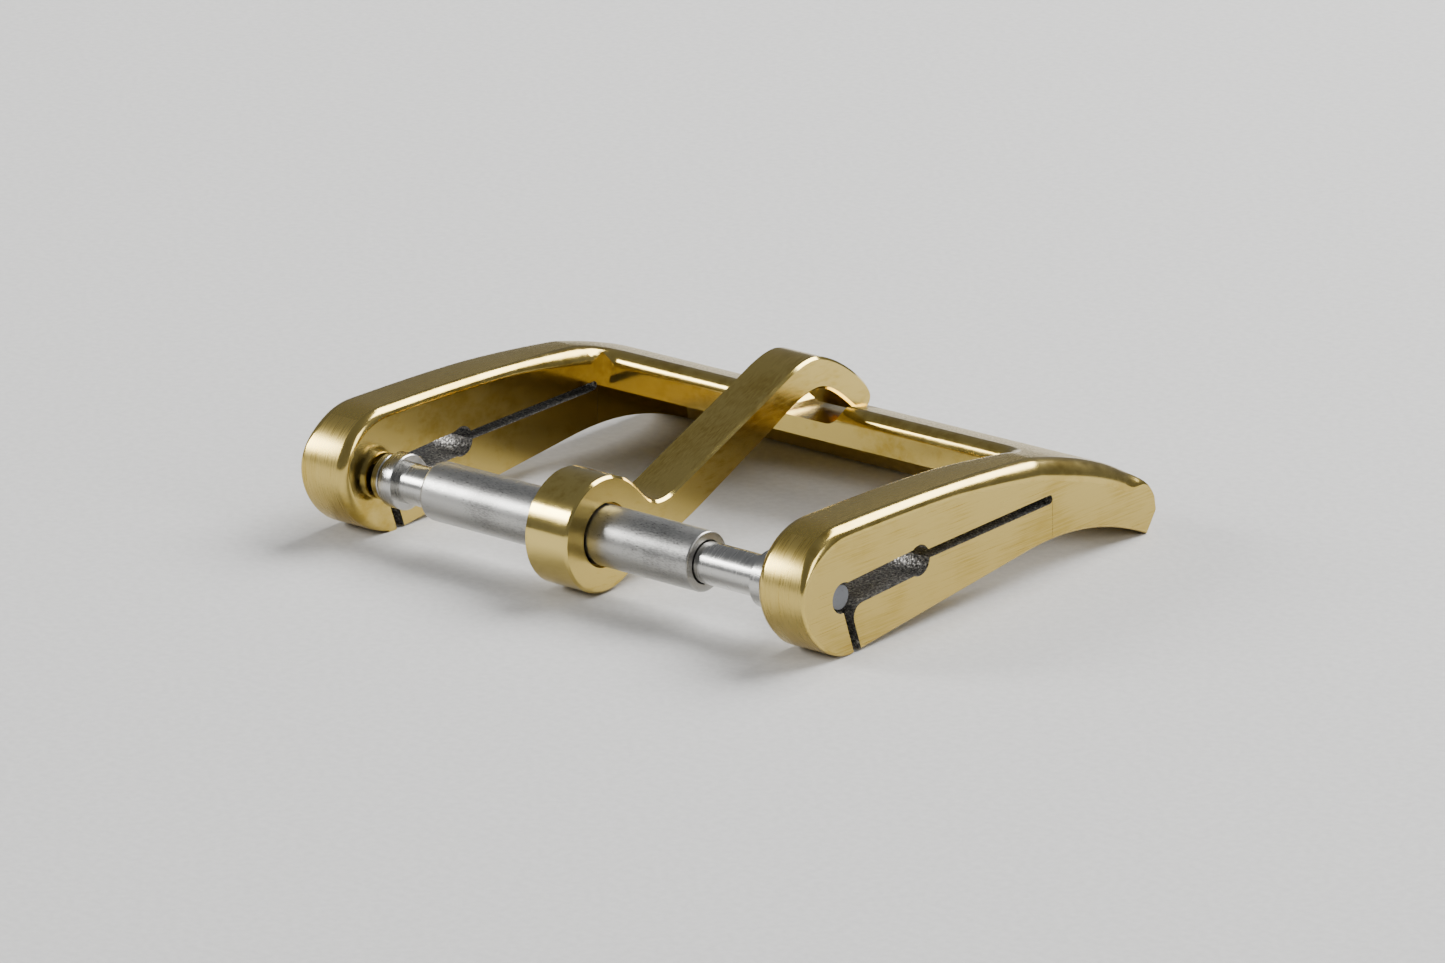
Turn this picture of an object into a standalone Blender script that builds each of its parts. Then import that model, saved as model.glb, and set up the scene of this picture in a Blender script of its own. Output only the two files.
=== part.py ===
# Pin buckle for a 16 mm watch strap, with slotted spring arms and a sprung bar.
# Lengths below are millimetres. The side profile is drawn in (y, z) measured from the
# bar's axis: y runs from the bar towards the crossbar and z runs up.
import bmesh
import bpy
from math import atan2, cos, pi, radians, sin, sqrt
from mathutils import Matrix, Vector, geometry

MM = 0.001

# Frame
INNER_GAP = 16.0          # clear width between the arms, the strap's nominal width
ARM_T = 1.8               # thickness of each arm
NOSE_REACH = 1.75         # bar axis to the front of the nose
BAR_HEIGHT = 1.80         # bar axis above the surface the buckle stands on
ARM_RISE = 2.08           # bar axis to the top of the arms
WINDOW_REACH = 9.75       # bar axis to the crossbar's inner face
CROSS_DEPTH = 4.65        # crossbar's inner face to the lip
CROSS_T = 1.16            # thickness of the crossbar's curved band
SIDE_BEVEL_NEAR = 0.34    # polished bevel on the arms' outer edge, at the nose
SIDE_BEVEL_FAR = 0.62     # the same bevel at the crossbar
BASE_BEVEL = 0.08         # lower edges
INNER_ROUND = 0.30        # rounding of the window's top edge
WINDOW_CORNER_R = 0.55    # window corner radius, in plan

# Bar
TIP_R = 0.38              # plunger tip
SHAFT_STEP = 0.10         # tube bore's radius over the plunger shaft's
FLANGE_R = 0.85           # plunger's inner flange
COLLAR_R = 0.72           # plunger's thin outer collar
FLANGE_T = 0.50
COLLAR_T = 0.25
GROOVE_T = 0.15           # groove between flange and collar
GROOVE_R = 0.50
TUBE_R = 0.90
TUBE_WALL = 0.18
TUBE_L = 10.5
TUBE_SHIFT = -0.55        # the tube floats off the middle, towards -X
TUBE_LIP_L = 0.35         # turned-in mouth at each end of the tube
HEAD_L = 0.50             # plunger head inside the tube
SPRING_WIRE_R = 0.09
SPRING_TURNS = 9
TIP_RECESS = 0.10         # tip end below the arm's outer face
FACE_GAP = 0.10           # collar to the arm's inner face
RUN_GAP = 0.04            # running clearance on radii

# Slots in the arms
SEAT_GAP = 0.08           # seat radius over the tip's
KEYHOLE_GAP = 0.09        # keyhole radius over the tip's
CHANNEL_GAP = 0.02        # channel half-width over the tip's radius
KEYHOLE_REACH = 3.38      # seat centre to keyhole centre, along y
KEYHOLE_LIFT = 0.21       # seat centre to keyhole centre, along z
SLIT_W = 0.28             # long slit
NOSE_SLIT_W = 0.32        # slit from the seat to the lower edge
NOSE_SLIT_Y = 0.19        # where it leaves the seat
NOSE_SLIT_LEAN = 0.33     # its run in y for each millimetre down
LEAF_TIP_R = 0.40         # rounded corner of the spring leaf's free end
ROOT_BACK = 0.30          # end of the long slit, in front of the crossbar's face
ROOT_GAP = 0.02           # joint line across the leaf's root

# Tang
TANG_W = 1.65
TANG_T = 1.02             # thickness of the strip
EYE_WALL = 0.77
EYE_GAP = 0.08            # eye bore radius over the tube's
TANG_BEVEL = 0.09
TANG_CREST = 3.06         # highest point above the bar axis
TANG_TIP_PAST = 2.25      # tip past the crossbar's inner face
NOTCH_W = 2.3             # floor of the notch in the crossbar
NOTCH_SIDE_GAP = 0.30     # its rounded flanks
NOTCH_DROP = 0.13         # floor below the tang's tip line, at the crossbar's face
TIP_GAP = 0.07            # tang's tip to the notch floor

HALF_GAP = INNER_GAP / 2
HALF_WIDTH = HALF_GAP + ARM_T
LIP_REACH = WINDOW_REACH + CROSS_DEPTH
BAR_Y = (NOSE_REACH - LIP_REACH) / 2
TUBE_BORE_R = TUBE_R - TUBE_WALL
SHAFT_R = TUBE_BORE_R - SHAFT_STEP
HEAD_R = TUBE_BORE_R - RUN_GAP
EYE_BORE_R = TUBE_R + EYE_GAP
EYE_R = EYE_BORE_R + EYE_WALL
SEAT_R = TIP_R + SEAT_GAP
KEYHOLE_R = TIP_R + KEYHOLE_GAP
CHANNEL_HALF = TIP_R + CHANNEL_GAP
ROOT_Y = WINDOW_REACH - ROOT_BACK
SLOPE = atan2(KEYHOLE_LIFT, KEYHOLE_REACH)
FAR = 30.0                # well clear of the buckle, for cutters


def material(name, colour, roughness, metallic):
    mat = bpy.data.materials.new(name)
    mat.use_nodes = True
    shader = mat.node_tree.nodes["Principled BSDF"]
    shader.inputs["Base Color"].default_value = (*colour, 1.0)
    shader.inputs["Roughness"].default_value = roughness
    shader.inputs["Metallic"].default_value = metallic
    return mat


def place(x, y, z):
    """A point given from the bar's axis, in metres in the buckle's own frame."""
    return Vector((x, y + BAR_Y, z + BAR_HEIGHT)) * MM


def bezier(start, leave, arrive, end, count):
    flat = [Vector((p[0], p[1], 0.0)) for p in (start, leave, arrive, end)]
    return [(p.x, p.y) for p in geometry.interpolate_bezier(*flat, count)]


def arc(centre, radius, start, end, count):
    steps = [start + (end - start) * i / (count - 1) for i in range(count)]
    return [(centre[0] + radius * cos(a), centre[1] + radius * sin(a)) for a in steps]


def along(point, angle, distance):
    return (point[0] + distance * cos(angle), point[1] + distance * sin(angle))


def prism(name, outline, x_low, x_high):
    """The (y, z) outline, extruded along X."""
    mesh = bpy.data.meshes.new(name)
    bm = bmesh.new()
    ring = [bm.verts.new(place(x_low, y, z)) for y, z in outline]
    face = bm.faces.new(ring)
    grown = bmesh.ops.extrude_face_region(bm, geom=[face])["geom"]
    moved = [v for v in grown if isinstance(v, bmesh.types.BMVert)]
    bmesh.ops.translate(bm, verts=moved, vec=((x_high - x_low) * MM, 0, 0))
    bmesh.ops.recalc_face_normals(bm, faces=bm.faces)
    bm.to_mesh(mesh)
    bm.free()
    obj = bpy.data.objects.new(name, mesh)
    bpy.context.scene.collection.objects.link(obj)
    return obj


def cutter(obj):
    obj.hide_render = True
    obj.display_type = "WIRE"
    return obj


def boolean(obj, tool, operation="DIFFERENCE"):
    step = obj.modifiers.new("Cut", "BOOLEAN")
    step.operation = operation
    step.solver = "EXACT"
    step.object = tool
    return step


def frozen(obj):
    """Writes the object's modifiers into its mesh, and drops the cutters they used."""
    tools = [m.object for m in obj.modifiers if m.type == "BOOLEAN"]
    bpy.context.view_layer.update()
    solid = obj.evaluated_get(bpy.context.evaluated_depsgraph_get())
    mesh = bpy.data.meshes.new_from_object(solid)
    obj.modifiers.clear()
    obj.data = mesh
    for tool in tools:
        bpy.data.objects.remove(tool)
    return obj


def tidy(obj):
    """Merges the doubled points that cuts leave behind."""
    bm = bmesh.new()
    bm.from_mesh(obj.data)
    bmesh.ops.remove_doubles(bm, verts=bm.verts, dist=0.002 * MM)
    bmesh.ops.dissolve_degenerate(bm, edges=bm.edges, dist=0.002 * MM)
    bm.to_mesh(obj.data)
    bm.free()


def shade(obj, mat, angle=35):
    obj.data.materials.clear()
    obj.data.materials.append(mat)
    obj.data.shade_smooth()
    obj.data.set_sharp_from_angle(angle=radians(angle))


# ---------------------------------------------------------------- side profile

CROWN = (0.30, ARM_RISE)
BELLY = (0.35, -BAR_HEIGHT)
SHOULDER = (WINDOW_REACH - 0.75, ARM_RISE - 0.34)
LIP_TOP = (LIP_REACH - 0.07, ARM_RISE - 2.80)
LIP_LOW = (LIP_REACH - 0.45, -BAR_HEIGHT)
HEEL = (WINDOW_REACH - 1.45, -BAR_HEIGHT + 0.94)


def nose_curve():
    front = (-NOSE_REACH, 0.30)
    lower = bezier(BELLY, (BELLY[0] - 1.05, BELLY[1]), (front[0], front[1] - 1.05), front, 8)
    upper = bezier(front, (front[0], front[1] + 0.95), (CROWN[0] - 1.20, CROWN[1]), CROWN, 8)
    return lower + upper[1:]


def top_curve():
    reach = SHOULDER[0] - CROWN[0]
    over = bezier(CROWN, (CROWN[0] + 0.48 * reach, CROWN[1] + 0.03),
                  (SHOULDER[0] - 0.30 * reach, SHOULDER[1] + 0.27), SHOULDER, 10)
    return over + band_curve()[1:]


def band_curve():
    """The crossbar's outer surface, from the shoulder over to the lip."""
    run = LIP_TOP[0] - SHOULDER[0]
    return bezier(SHOULDER, (SHOULDER[0] + 0.45 * run, SHOULDER[1] - 0.50),
                  (LIP_TOP[0] - 0.08 * run, LIP_TOP[1] + 1.08), LIP_TOP, 14)


def lower_curve():
    """From the lip's foot, up under the arch and forward along the arm."""
    run = LIP_LOW[0] - HEEL[0]
    arch = bezier(LIP_LOW, (LIP_LOW[0] - 0.36 * run, LIP_LOW[1] + 0.95),
                  (HEEL[0] + 0.33 * run, HEEL[1] + 0.22), HEEL, 10)
    return arch


def side_outline():
    lip = [(LIP_REACH, LIP_TOP[1] - 0.42)]
    return nose_curve() + top_curve()[1:] + lip + lower_curve()


def under_curve():
    """The hollow side of the crossbar: the band's outer surface, one thickness in."""
    outer = band_curve()
    inner = []
    for before, after in zip(outer, outer[1:]):
        run = Vector((after[0] - before[0], after[1] - before[1])).normalized()
        mid = ((before[0] + after[0]) / 2, (before[1] + after[1]) / 2)
        inner.append((mid[0] + run.y * CROSS_T, mid[1] - run.x * CROSS_T))
    kept = [p for p in inner if p[0] > WINDOW_REACH + 0.2]
    last = kept[-1]
    fall = Vector((last[0] - kept[-2][0], last[1] - kept[-2][1])).normalized()
    start = (WINDOW_REACH, kept[0][1] + 0.05 + (kept[0][0] - WINDOW_REACH) * 0.2)
    return [start] + kept + [(last[0] + fall.x * 4, last[1] + fall.y * 4)]


# ------------------------------------------------------------------- the slots

def circle_hit(centre, radius, point, angle, side):
    """Where the line through point at angle meets the circle; side picks which end."""
    dx = point[0] - centre[0]
    dy = point[1] - centre[1]
    half = dx * cos(angle) + dy * sin(angle)
    root = sqrt(half * half - (dx * dx + dy * dy - radius * radius))
    return along(point, angle, -half + side * root)


def bearing(centre, point):
    return atan2(point[1] - centre[1], point[0] - centre[0])


def slot_outline():
    seat = (0.0, 0.0)
    keyhole = (KEYHOLE_REACH, KEYHOLE_LIFT)
    across = SLOPE + pi / 2
    down = -pi / 2 + atan2(NOSE_SLIT_LEAN, 1.0)
    mouth = (NOSE_SLIT_Y, -SEAT_R)
    left = along(mouth, down + pi / 2, -NOSE_SLIT_W / 2)
    right = along(mouth, down + pi / 2, NOSE_SLIT_W / 2)
    upper = along(seat, across, CHANNEL_HALF)
    lower = along(seat, across, -CHANNEL_HALF)
    slit_end = (ROOT_Y - SLIT_W / 2, KEYHOLE_LIFT + 0.27)
    slit_start = (KEYHOLE_REACH, KEYHOLE_LIFT + 0.09)
    tilt = bearing(slit_start, slit_end)
    slit_top = along(slit_start, tilt + pi / 2, SLIT_W / 2)
    slit_low = along(slit_start, tilt + pi / 2, -SLIT_W / 2)
    seat_left = circle_hit(seat, SEAT_R, left, down, 1)
    seat_top = circle_hit(seat, SEAT_R, upper, SLOPE, 1)
    key_top = circle_hit(keyhole, KEYHOLE_R, upper, SLOPE, -1)
    key_slit_top = circle_hit(keyhole, KEYHOLE_R, slit_top, tilt, 1)
    key_slit_low = circle_hit(keyhole, KEYHOLE_R, slit_low, tilt, 1)
    key_low = circle_hit(keyhole, KEYHOLE_R, lower, SLOPE, -1)
    around = bearing(seat, seat_left)
    points = [along(left, down, 6.0)]
    points += arc(seat, SEAT_R, around + 2 * pi, bearing(seat, seat_top), 14)
    points += arc(keyhole, KEYHOLE_R, bearing(keyhole, key_top), bearing(keyhole, key_slit_top), 7)
    points += arc(slit_end, SLIT_W / 2, tilt + pi / 2, tilt - pi / 2, 7)
    points += arc(keyhole, KEYHOLE_R, bearing(keyhole, key_slit_low),
                  bearing(keyhole, key_low), 7)
    turn = SLOPE - down
    reach = LEAF_TIP_R / abs(sin(turn / 2)) * abs(cos(turn / 2))
    corner = meet(lower, SLOPE, right, down)
    points += fillet(corner, SLOPE, down, reach, 6)
    points += [along(right, down, 6.0)]
    return points


def meet(point_a, angle_a, point_b, angle_b):
    """Where two lines cross."""
    den = cos(angle_a) * sin(angle_b) - sin(angle_a) * cos(angle_b)
    dx = point_b[0] - point_a[0]
    dy = point_b[1] - point_a[1]
    return along(point_a, angle_a, (dx * sin(angle_b) - dy * cos(angle_b)) / den)


def fillet(corner, angle_in, angle_out, reach, count):
    """A rounded corner between two lines leaving it at the two angles."""
    first = along(corner, angle_in, reach)
    last = along(corner, angle_out, reach)
    pull = 0.55
    first_pull = along(corner, angle_in, reach * (1 - pull))
    last_pull = along(corner, angle_out, reach * (1 - pull))
    return bezier(first, first_pull, last_pull, last, count)


def leaf_envelope(grow):
    """Everything below the slots and in front of the leaf's root."""
    down = -pi / 2 + atan2(NOSE_SLIT_LEAN, 1.0)
    mouth = (NOSE_SLIT_Y, -SEAT_R * 0.9)
    root = ROOT_Y + grow
    return [along(mouth, down, 6.0), mouth, (KEYHOLE_REACH, KEYHOLE_LIFT),
            (root - SLIT_W / 2 - grow, KEYHOLE_LIFT + 0.27), (root, KEYHOLE_LIFT + 0.27),
            (root, -6.0)]


# ------------------------------------------------------------------ sub-parts

def inset(outline, width_at):
    """The closed outline moved inwards, by width_at(y, z) at each of its points."""
    moved = []
    for i, (y, z) in enumerate(outline):
        before = Vector(outline[i - 1])
        after = Vector(outline[(i + 1) % len(outline)])
        here = Vector((y, z))
        ahead = (after - here).normalized()
        behind = (here - before).normalized()
        normal = Vector((ahead.y + behind.y, -ahead.x - behind.x)).normalized()
        square = max(normal.dot(Vector((ahead.y, -ahead.x))), 0.5)
        step = normal * (width_at(y, z) / square)
        moved.append((y + step.x, z + step.y))
    return moved


def side_bevel(y, z):
    """Width of the bevel round an arm's outer face: slim below, wide above and behind."""
    under = -BAR_HEIGHT + 1.05 + 0.06 * y
    if z < under and y > CROWN[0] - 0.9:
        return BASE_BEVEL
    if y > LIP_LOW[0] and z < LIP_TOP[1]:
        return SIDE_BEVEL_NEAR
    fade = min(max((y - 5.0) / 5.0, 0.0), 1.0)
    return SIDE_BEVEL_NEAR + (SIDE_BEVEL_FAR - SIDE_BEVEL_NEAR) * fade


def rounded_slab(name, outline, half_width, width_at, steps):
    """The outline extruded from -half_width to half_width, its rims rounded by width_at."""
    turns = [i / steps * pi / 2 for i in range(steps + 1)]
    deep = max(width_at(y, z) for y, z in outline)
    sides = []
    for turn in turns:
        ring = inset(outline, lambda y, z: width_at(y, z) * (1 - sin(turn)))
        sides.append((half_width - deep * (1 - cos(turn)), ring))
    rings = [(-x, ring) for x, ring in sides] + sides[::-1]
    mesh = bpy.data.meshes.new(name)
    bm = bmesh.new()
    slot = bm.verts.layers.int.new("slot")
    first = [bm.verts.new(place(rings[0][0], y, z)) for y, z in rings[0][1]]
    for i, vert in enumerate(first):
        vert[slot] = i
    cap = bm.faces.new(first)
    inner = []
    for x, ring in rings[1:]:
        grown = bmesh.ops.extrude_face_region(bm, geom=[cap])["geom"]
        cap = next(f for f in grown if isinstance(f, bmesh.types.BMFace))
        inner.append(cap)
        for vert in cap.verts:
            vert.co = place(x, *ring[vert[slot]])
    bmesh.ops.delete(bm, geom=inner[:-1], context="FACES_ONLY")
    bmesh.ops.recalc_face_normals(bm, faces=bm.faces)
    bm.to_mesh(mesh)
    bm.free()
    obj = bpy.data.objects.new(name, mesh)
    bpy.context.scene.collection.objects.link(obj)
    return obj


def bevel_picked(obj, picked, width, segments):
    """Bevels the edges that picked(middle, edge) chooses."""
    bm = bmesh.new()
    bm.from_mesh(obj.data)
    edges = [e for e in bm.edges if picked((e.verts[0].co + e.verts[1].co) / 2 / MM, e)]
    bmesh.ops.bevel(bm, geom=edges, offset=width * MM, offset_type="OFFSET", segments=segments,
                    profile=0.5, affect="EDGES")
    bm.to_mesh(obj.data)
    bm.free()


def frame_blank():
    """The whole frame before its slots: arms, crossbar, window and tang notch."""
    blank = rounded_slab("frame", side_outline(), HALF_WIDTH, side_bevel, 3)
    boolean(blank, window_cutter())
    frozen(blank)

    def window_edge(middle, edge):
        if len(edge.link_faces) != 2 or edge.calc_face_angle() < radians(35):
            return False
        x = abs(middle.x)
        y = middle.y - BAR_Y
        z = middle.z - BAR_HEIGHT
        on_arm = abs(x - HALF_GAP) < 0.01 and y < WINDOW_REACH - WINDOW_CORNER_R + 0.01
        on_face = x < HALF_GAP - WINDOW_CORNER_R + 0.01 and abs(y - WINDOW_REACH) < 0.01
        on_corner = x <= HALF_GAP + 0.01 and y > WINDOW_REACH - WINDOW_CORNER_R - 0.01
        return z > 0.9 and (on_arm or on_face or (on_corner and y < WINDOW_REACH + 0.01))

    bevel_picked(blank, window_edge, INNER_ROUND, 3)
    boolean(blank, notch_cutter())
    return frozen(blank)


def window_cutter():
    hollow = under_curve()
    outline = [(-FAR, FAR), (-FAR, -FAR), (hollow[-1][0], -FAR)] + hollow[::-1]
    outline += [(WINDOW_REACH, FAR)]
    tool = prism("window_cutter", outline, -HALF_GAP, HALF_GAP)
    bm = bmesh.new()
    bm.from_mesh(tool.data)
    face_y = (WINDOW_REACH + BAR_Y) * MM
    posts = [e for e in bm.edges
             if all(abs(v.co.y - face_y) < 1e-7 for v in e.verts)
             and abs(e.verts[0].co.x - e.verts[1].co.x) < 1e-7]
    bmesh.ops.bevel(bm, geom=posts, offset=WINDOW_CORNER_R * MM, offset_type="OFFSET",
                    segments=5, profile=0.5, affect="EDGES")
    bm.to_mesh(tool.data)
    bm.free()
    return cutter(tool)


def tang_line(y):
    """Underside of the tang's strip, at y."""
    return -0.27 + (y - 4.1) * 0.46


def notch_floor():
    """Floor of the crossbar's notch: height at the crossbar's face and under the tip."""
    tip = tang_tip()
    return tip[1] - TIP_GAP + NOTCH_DROP + 0.03, tip[1] - TIP_GAP


def notch_cutter():
    front, back = notch_floor()
    tip = tang_tip()
    fall = (front - back) / (tip[0] - WINDOW_REACH)
    y_low = WINDOW_REACH - 1.0
    y_high = LIP_REACH
    z_low = front + fall * 1.0
    z_high = front - fall * CROSS_DEPTH
    section = [(-NOTCH_W / 2 - NOTCH_SIDE_GAP - 0.25, 3.0), (-NOTCH_W / 2 - NOTCH_SIDE_GAP, 0.55)]
    section += bezier((-NOTCH_W / 2 - NOTCH_SIDE_GAP, 0.45), (-NOTCH_W / 2 - 0.15, 0.12),
                      (-NOTCH_W / 2, 0.0), (-NOTCH_W / 2 + 0.30, 0.0), 6)
    section += [(-x, z) for x, z in section[::-1]]
    mesh = bpy.data.meshes.new("notch_cutter")
    bm = bmesh.new()
    ring = [bm.verts.new(place(x, y_low, z_low + z)) for x, z in section]
    face = bm.faces.new(ring)
    grown = bmesh.ops.extrude_face_region(bm, geom=[face])["geom"]
    moved = [v for v in grown if isinstance(v, bmesh.types.BMVert)]
    bmesh.ops.translate(bm, verts=moved, vec=Vector((0, y_high - y_low, z_high - z_low)) * MM)
    bmesh.ops.recalc_face_normals(bm, faces=bm.faces)
    bm.to_mesh(mesh)
    bm.free()
    tool = bpy.data.objects.new("notch_cutter", mesh)
    bpy.context.scene.collection.objects.link(tool)
    return cutter(tool)


def make_frame(gold):
    """The frame with both arms slotted, and the two spring leaves it carries."""
    frame = frame_blank()
    slots = cutter(prism("slot_cutter", slot_outline(), -FAR, FAR))
    boolean(frame, slots)
    frozen(frame)
    tidy(frame)
    for name, side in (("leaf_left", -1), ("leaf_right", 1)):
        leaf = bpy.data.objects.new(name, frame.data.copy())
        bpy.context.scene.collection.objects.link(leaf)
        spans = sorted((side * (HALF_GAP - 1.0), side * FAR))
        keep = cutter(prism(name + "_envelope", leaf_envelope(0.0), *spans))
        boolean(leaf, keep, "INTERSECT")
        frozen(leaf)
        tidy(leaf)
        shade(leaf, gold)
        set_origin(leaf, leaf_pivot(side))
    drop = cutter(prism("leaf_cutter", leaf_envelope(ROOT_GAP), -FAR, FAR))
    boolean(frame, drop)
    frozen(frame)
    tidy(frame)
    shade(frame, gold)
    return frame


def leaf_pivot(side):
    return place(side * (HALF_GAP + ARM_T / 2), ROOT_Y, -0.20)


def set_origin(obj, point):
    obj.data.transform(Matrix.Translation(-point))
    obj.location = point


def tang_tip():
    """Lowest point of the hook, in the notch."""
    return (WINDOW_REACH + TANG_TIP_PAST - 0.43, ARM_RISE - 1.24)


def tang_outline():
    """The strip's side view: round the eye, down into the dip, up and over the hook."""
    crest = (WINDOW_REACH - 0.45, TANG_CREST)
    dip = (EYE_R + 0.58, 0.45)
    rise = (WINDOW_REACH - 2.05, 2.55)
    tip = tang_tip()
    low_start = 1.02
    leave = radians(57)
    eye = arc((0, 0), EYE_R, leave, 2 * pi - low_start, 26)
    off = eye[-1]
    slope = atan2(0.46, 1.0)
    strip_low = (WINDOW_REACH - 2.45, tang_line(WINDOW_REACH - 2.45))
    under = bezier(off, along(off, 2 * pi - low_start + pi / 2, 0.5),
                   along((4.1, tang_line(4.1)), slope + pi, 0.9), (4.1, tang_line(4.1)), 5)
    arch_top = (WINDOW_REACH - 0.25, TANG_CREST - TANG_T)
    arch = bezier(strip_low, along(strip_low, slope, 0.75), (arch_top[0] - 0.75, arch_top[1] - 0.02),
                  arch_top, 7)
    hook_in = bezier(arch_top, (arch_top[0] + 0.70, arch_top[1]), (tip[0] - 0.62, tip[1] + 0.38),
                     (tip[0] - 0.18, tip[1] + 0.05), 7)
    end = (WINDOW_REACH + TANG_TIP_PAST, tip[1] + 0.42)
    point = bezier(tip, (tip[0] + 0.22, tip[1] - 0.03), (end[0] + 0.02, end[1] - 0.25), end, 5)
    back = bezier(end, (end[0] - 0.02, end[1] + 0.45), (crest[0] + 0.95, crest[1] + 0.03), crest, 10)
    over = bezier(crest, (crest[0] - 0.55, crest[1] - 0.02), along(rise, slope, 0.55), rise, 5)
    valley = bezier((dip[0] + 0.85, dip[1] + 0.17), (dip[0] + 0.35, dip[1] - 0.06),
                    (dip[0] - 0.10, dip[1] - 0.07), (dip[0] - 0.40, dip[1] + 0.14), 6)
    first = eye[0]
    shoulder = bezier(valley[-1], along(valley[-1], radians(141), 0.45),
                      along(first, leave - pi / 2, 0.45), first, 5)
    outline = eye + under[1:] + arch + hook_in[1:] + point + back[1:] + over[1:]
    return outline + valley + shoulder[1:-1]


def make_tang(gold):
    tang = prism("tang", tang_outline(), -TANG_W / 2, TANG_W / 2)
    bm = bmesh.new()
    bm.from_mesh(tang.data)
    rims = [e for e in bm.edges if abs(e.verts[0].co.x - e.verts[1].co.x) < 1e-8]
    bmesh.ops.bevel(bm, geom=rims, offset=TANG_BEVEL * MM, offset_type="OFFSET", segments=1,
                    profile=0.5, affect="EDGES")
    bm.to_mesh(tang.data)
    bm.free()
    bore = cutter(prism("eye_cutter", arc((0, 0), EYE_BORE_R, 0, 2 * pi * 31 / 32, 32), -FAR, FAR))
    boolean(tang, bore)
    frozen(tang)
    tidy(tang)
    shade(tang, gold)
    set_origin(tang, place(0, 0, 0))
    return tang


def turned(name, profile, segments):
    """A piece turned round the bar's axis from an (x, radius) profile that ends on the axis
    or closes on itself."""
    mesh = bpy.data.meshes.new(name)
    bm = bmesh.new()
    closed = profile[0] == profile[-1]
    points = profile[:-1] if closed else profile
    verts = [bm.verts.new(place(x, r, 0)) for x, r in points]
    pairs = list(zip(verts, verts[1:]))
    if closed:
        pairs.append((verts[-1], verts[0]))
    edges = [bm.edges.new(pair) for pair in pairs]
    bmesh.ops.spin(bm, geom=verts + edges, cent=place(0, 0, 0), axis=(1, 0, 0), angle=2 * pi,
                   steps=segments, use_merge=True)
    bmesh.ops.remove_doubles(bm, verts=bm.verts, dist=0.0005 * MM)
    bmesh.ops.recalc_face_normals(bm, faces=bm.faces)
    bm.to_mesh(mesh)
    bm.free()
    obj = bpy.data.objects.new(name, mesh)
    bpy.context.scene.collection.objects.link(obj)
    return obj


def make_tube(steel):
    left = TUBE_SHIFT - TUBE_L / 2
    right = TUBE_SHIFT + TUBE_L / 2
    mouth = SHAFT_R + RUN_GAP
    chamfer = 0.16
    profile = [(left, mouth), (left, TUBE_R - chamfer), (left + 0.05, TUBE_R - 0.07),
               (left + chamfer, TUBE_R),
               (right - 0.05, TUBE_R), (right, TUBE_R - 0.05), (right, mouth),
               (right - TUBE_LIP_L, mouth), (right - TUBE_LIP_L, TUBE_BORE_R),
               (left + TUBE_LIP_L, TUBE_BORE_R), (left + TUBE_LIP_L, mouth), (left, mouth)]
    tube = turned("bar_tube", profile, 32)
    shade(tube, steel)
    set_origin(tube, place(TUBE_SHIFT, 0, 0))
    return tube


def plunger_profile(tube_end):
    """Profile of the plunger on the +X side, from its tip inwards, with x from the tube's middle."""
    tip = HALF_WIDTH - TIP_RECESS
    collar = HALF_GAP - FACE_GAP
    groove = collar - COLLAR_T
    flange = groove - GROOVE_T
    shaft = flange - FLANGE_T
    head = tube_end - TUBE_LIP_L - RUN_GAP
    return [(tip, 0), (tip, TIP_R - 0.04), (tip - 0.04, TIP_R), (collar, TIP_R), (collar, COLLAR_R),
            (groove, COLLAR_R), (groove, GROOVE_R), (flange, GROOVE_R), (flange, FLANGE_R),
            (shaft, FLANGE_R), (shaft, SHAFT_R), (head, SHAFT_R), (head, HEAD_R),
            (head - HEAD_L, HEAD_R), (head - HEAD_L, 0)]


def make_plungers(steel):
    for name, side in (("plunger_left", -1), ("plunger_right", 1)):
        tube_end = TUBE_L / 2 + side * TUBE_SHIFT
        profile = [(side * x, r) for x, r in plunger_profile(tube_end)]
        plunger = turned(name, profile, 24)
        shade(plunger, steel)
        set_origin(plunger, place(side * HALF_GAP, 0, 0))


def make_spring(steel):
    """Closed-end coil between the two plunger heads."""
    margin = TUBE_LIP_L + RUN_GAP + HEAD_L + RUN_GAP + SPRING_WIRE_R
    start = TUBE_SHIFT - TUBE_L / 2 + margin
    end = TUBE_SHIFT + TUBE_L / 2 - margin
    coil_r = TUBE_BORE_R - RUN_GAP * 2 - SPRING_WIRE_R
    per_turn = 14
    count = SPRING_TURNS * per_turn
    curve = bpy.data.curves.new("bar_spring", "CURVE")
    curve.dimensions = "3D"
    line = curve.splines.new("POLY")
    line.points.add(count)
    for i in range(count + 1):
        turn = 2 * pi * i / per_turn
        point = place(start + (end - start) * i / count, coil_r * cos(turn), coil_r * sin(turn))
        line.points[i].co = (*point, 1.0)
    curve.bevel_depth = SPRING_WIRE_R * MM
    curve.bevel_resolution = 1
    curve.use_fill_caps = True
    obj = bpy.data.objects.new("bar_spring", curve)
    curve.materials.append(steel)
    bpy.context.scene.collection.objects.link(obj)
    return obj


def build():
    for obj in list(bpy.data.objects):
        bpy.data.objects.remove(obj)
    gold = material("gold_plated_steel", (0.56, 0.42, 0.17), 0.28, 1.0)
    polished_gold = material("polished_gold_tang", (0.58, 0.43, 0.17), 0.18, 1.0)
    satin_steel = material("satin_steel", (0.50, 0.50, 0.49), 0.38, 1.0)
    spring_steel = material("spring_steel", (0.38, 0.38, 0.39), 0.35, 1.0)
    make_frame(gold)
    make_tang(polished_gold)
    make_tube(satin_steel)
    make_plungers(satin_steel)
    make_spring(spring_steel)


build()
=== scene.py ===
from math import atan2, cos, exp, pi, radians, sin, sqrt, tan

import bmesh
import bpy
from mathutils import Matrix, Vector, geometry


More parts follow.
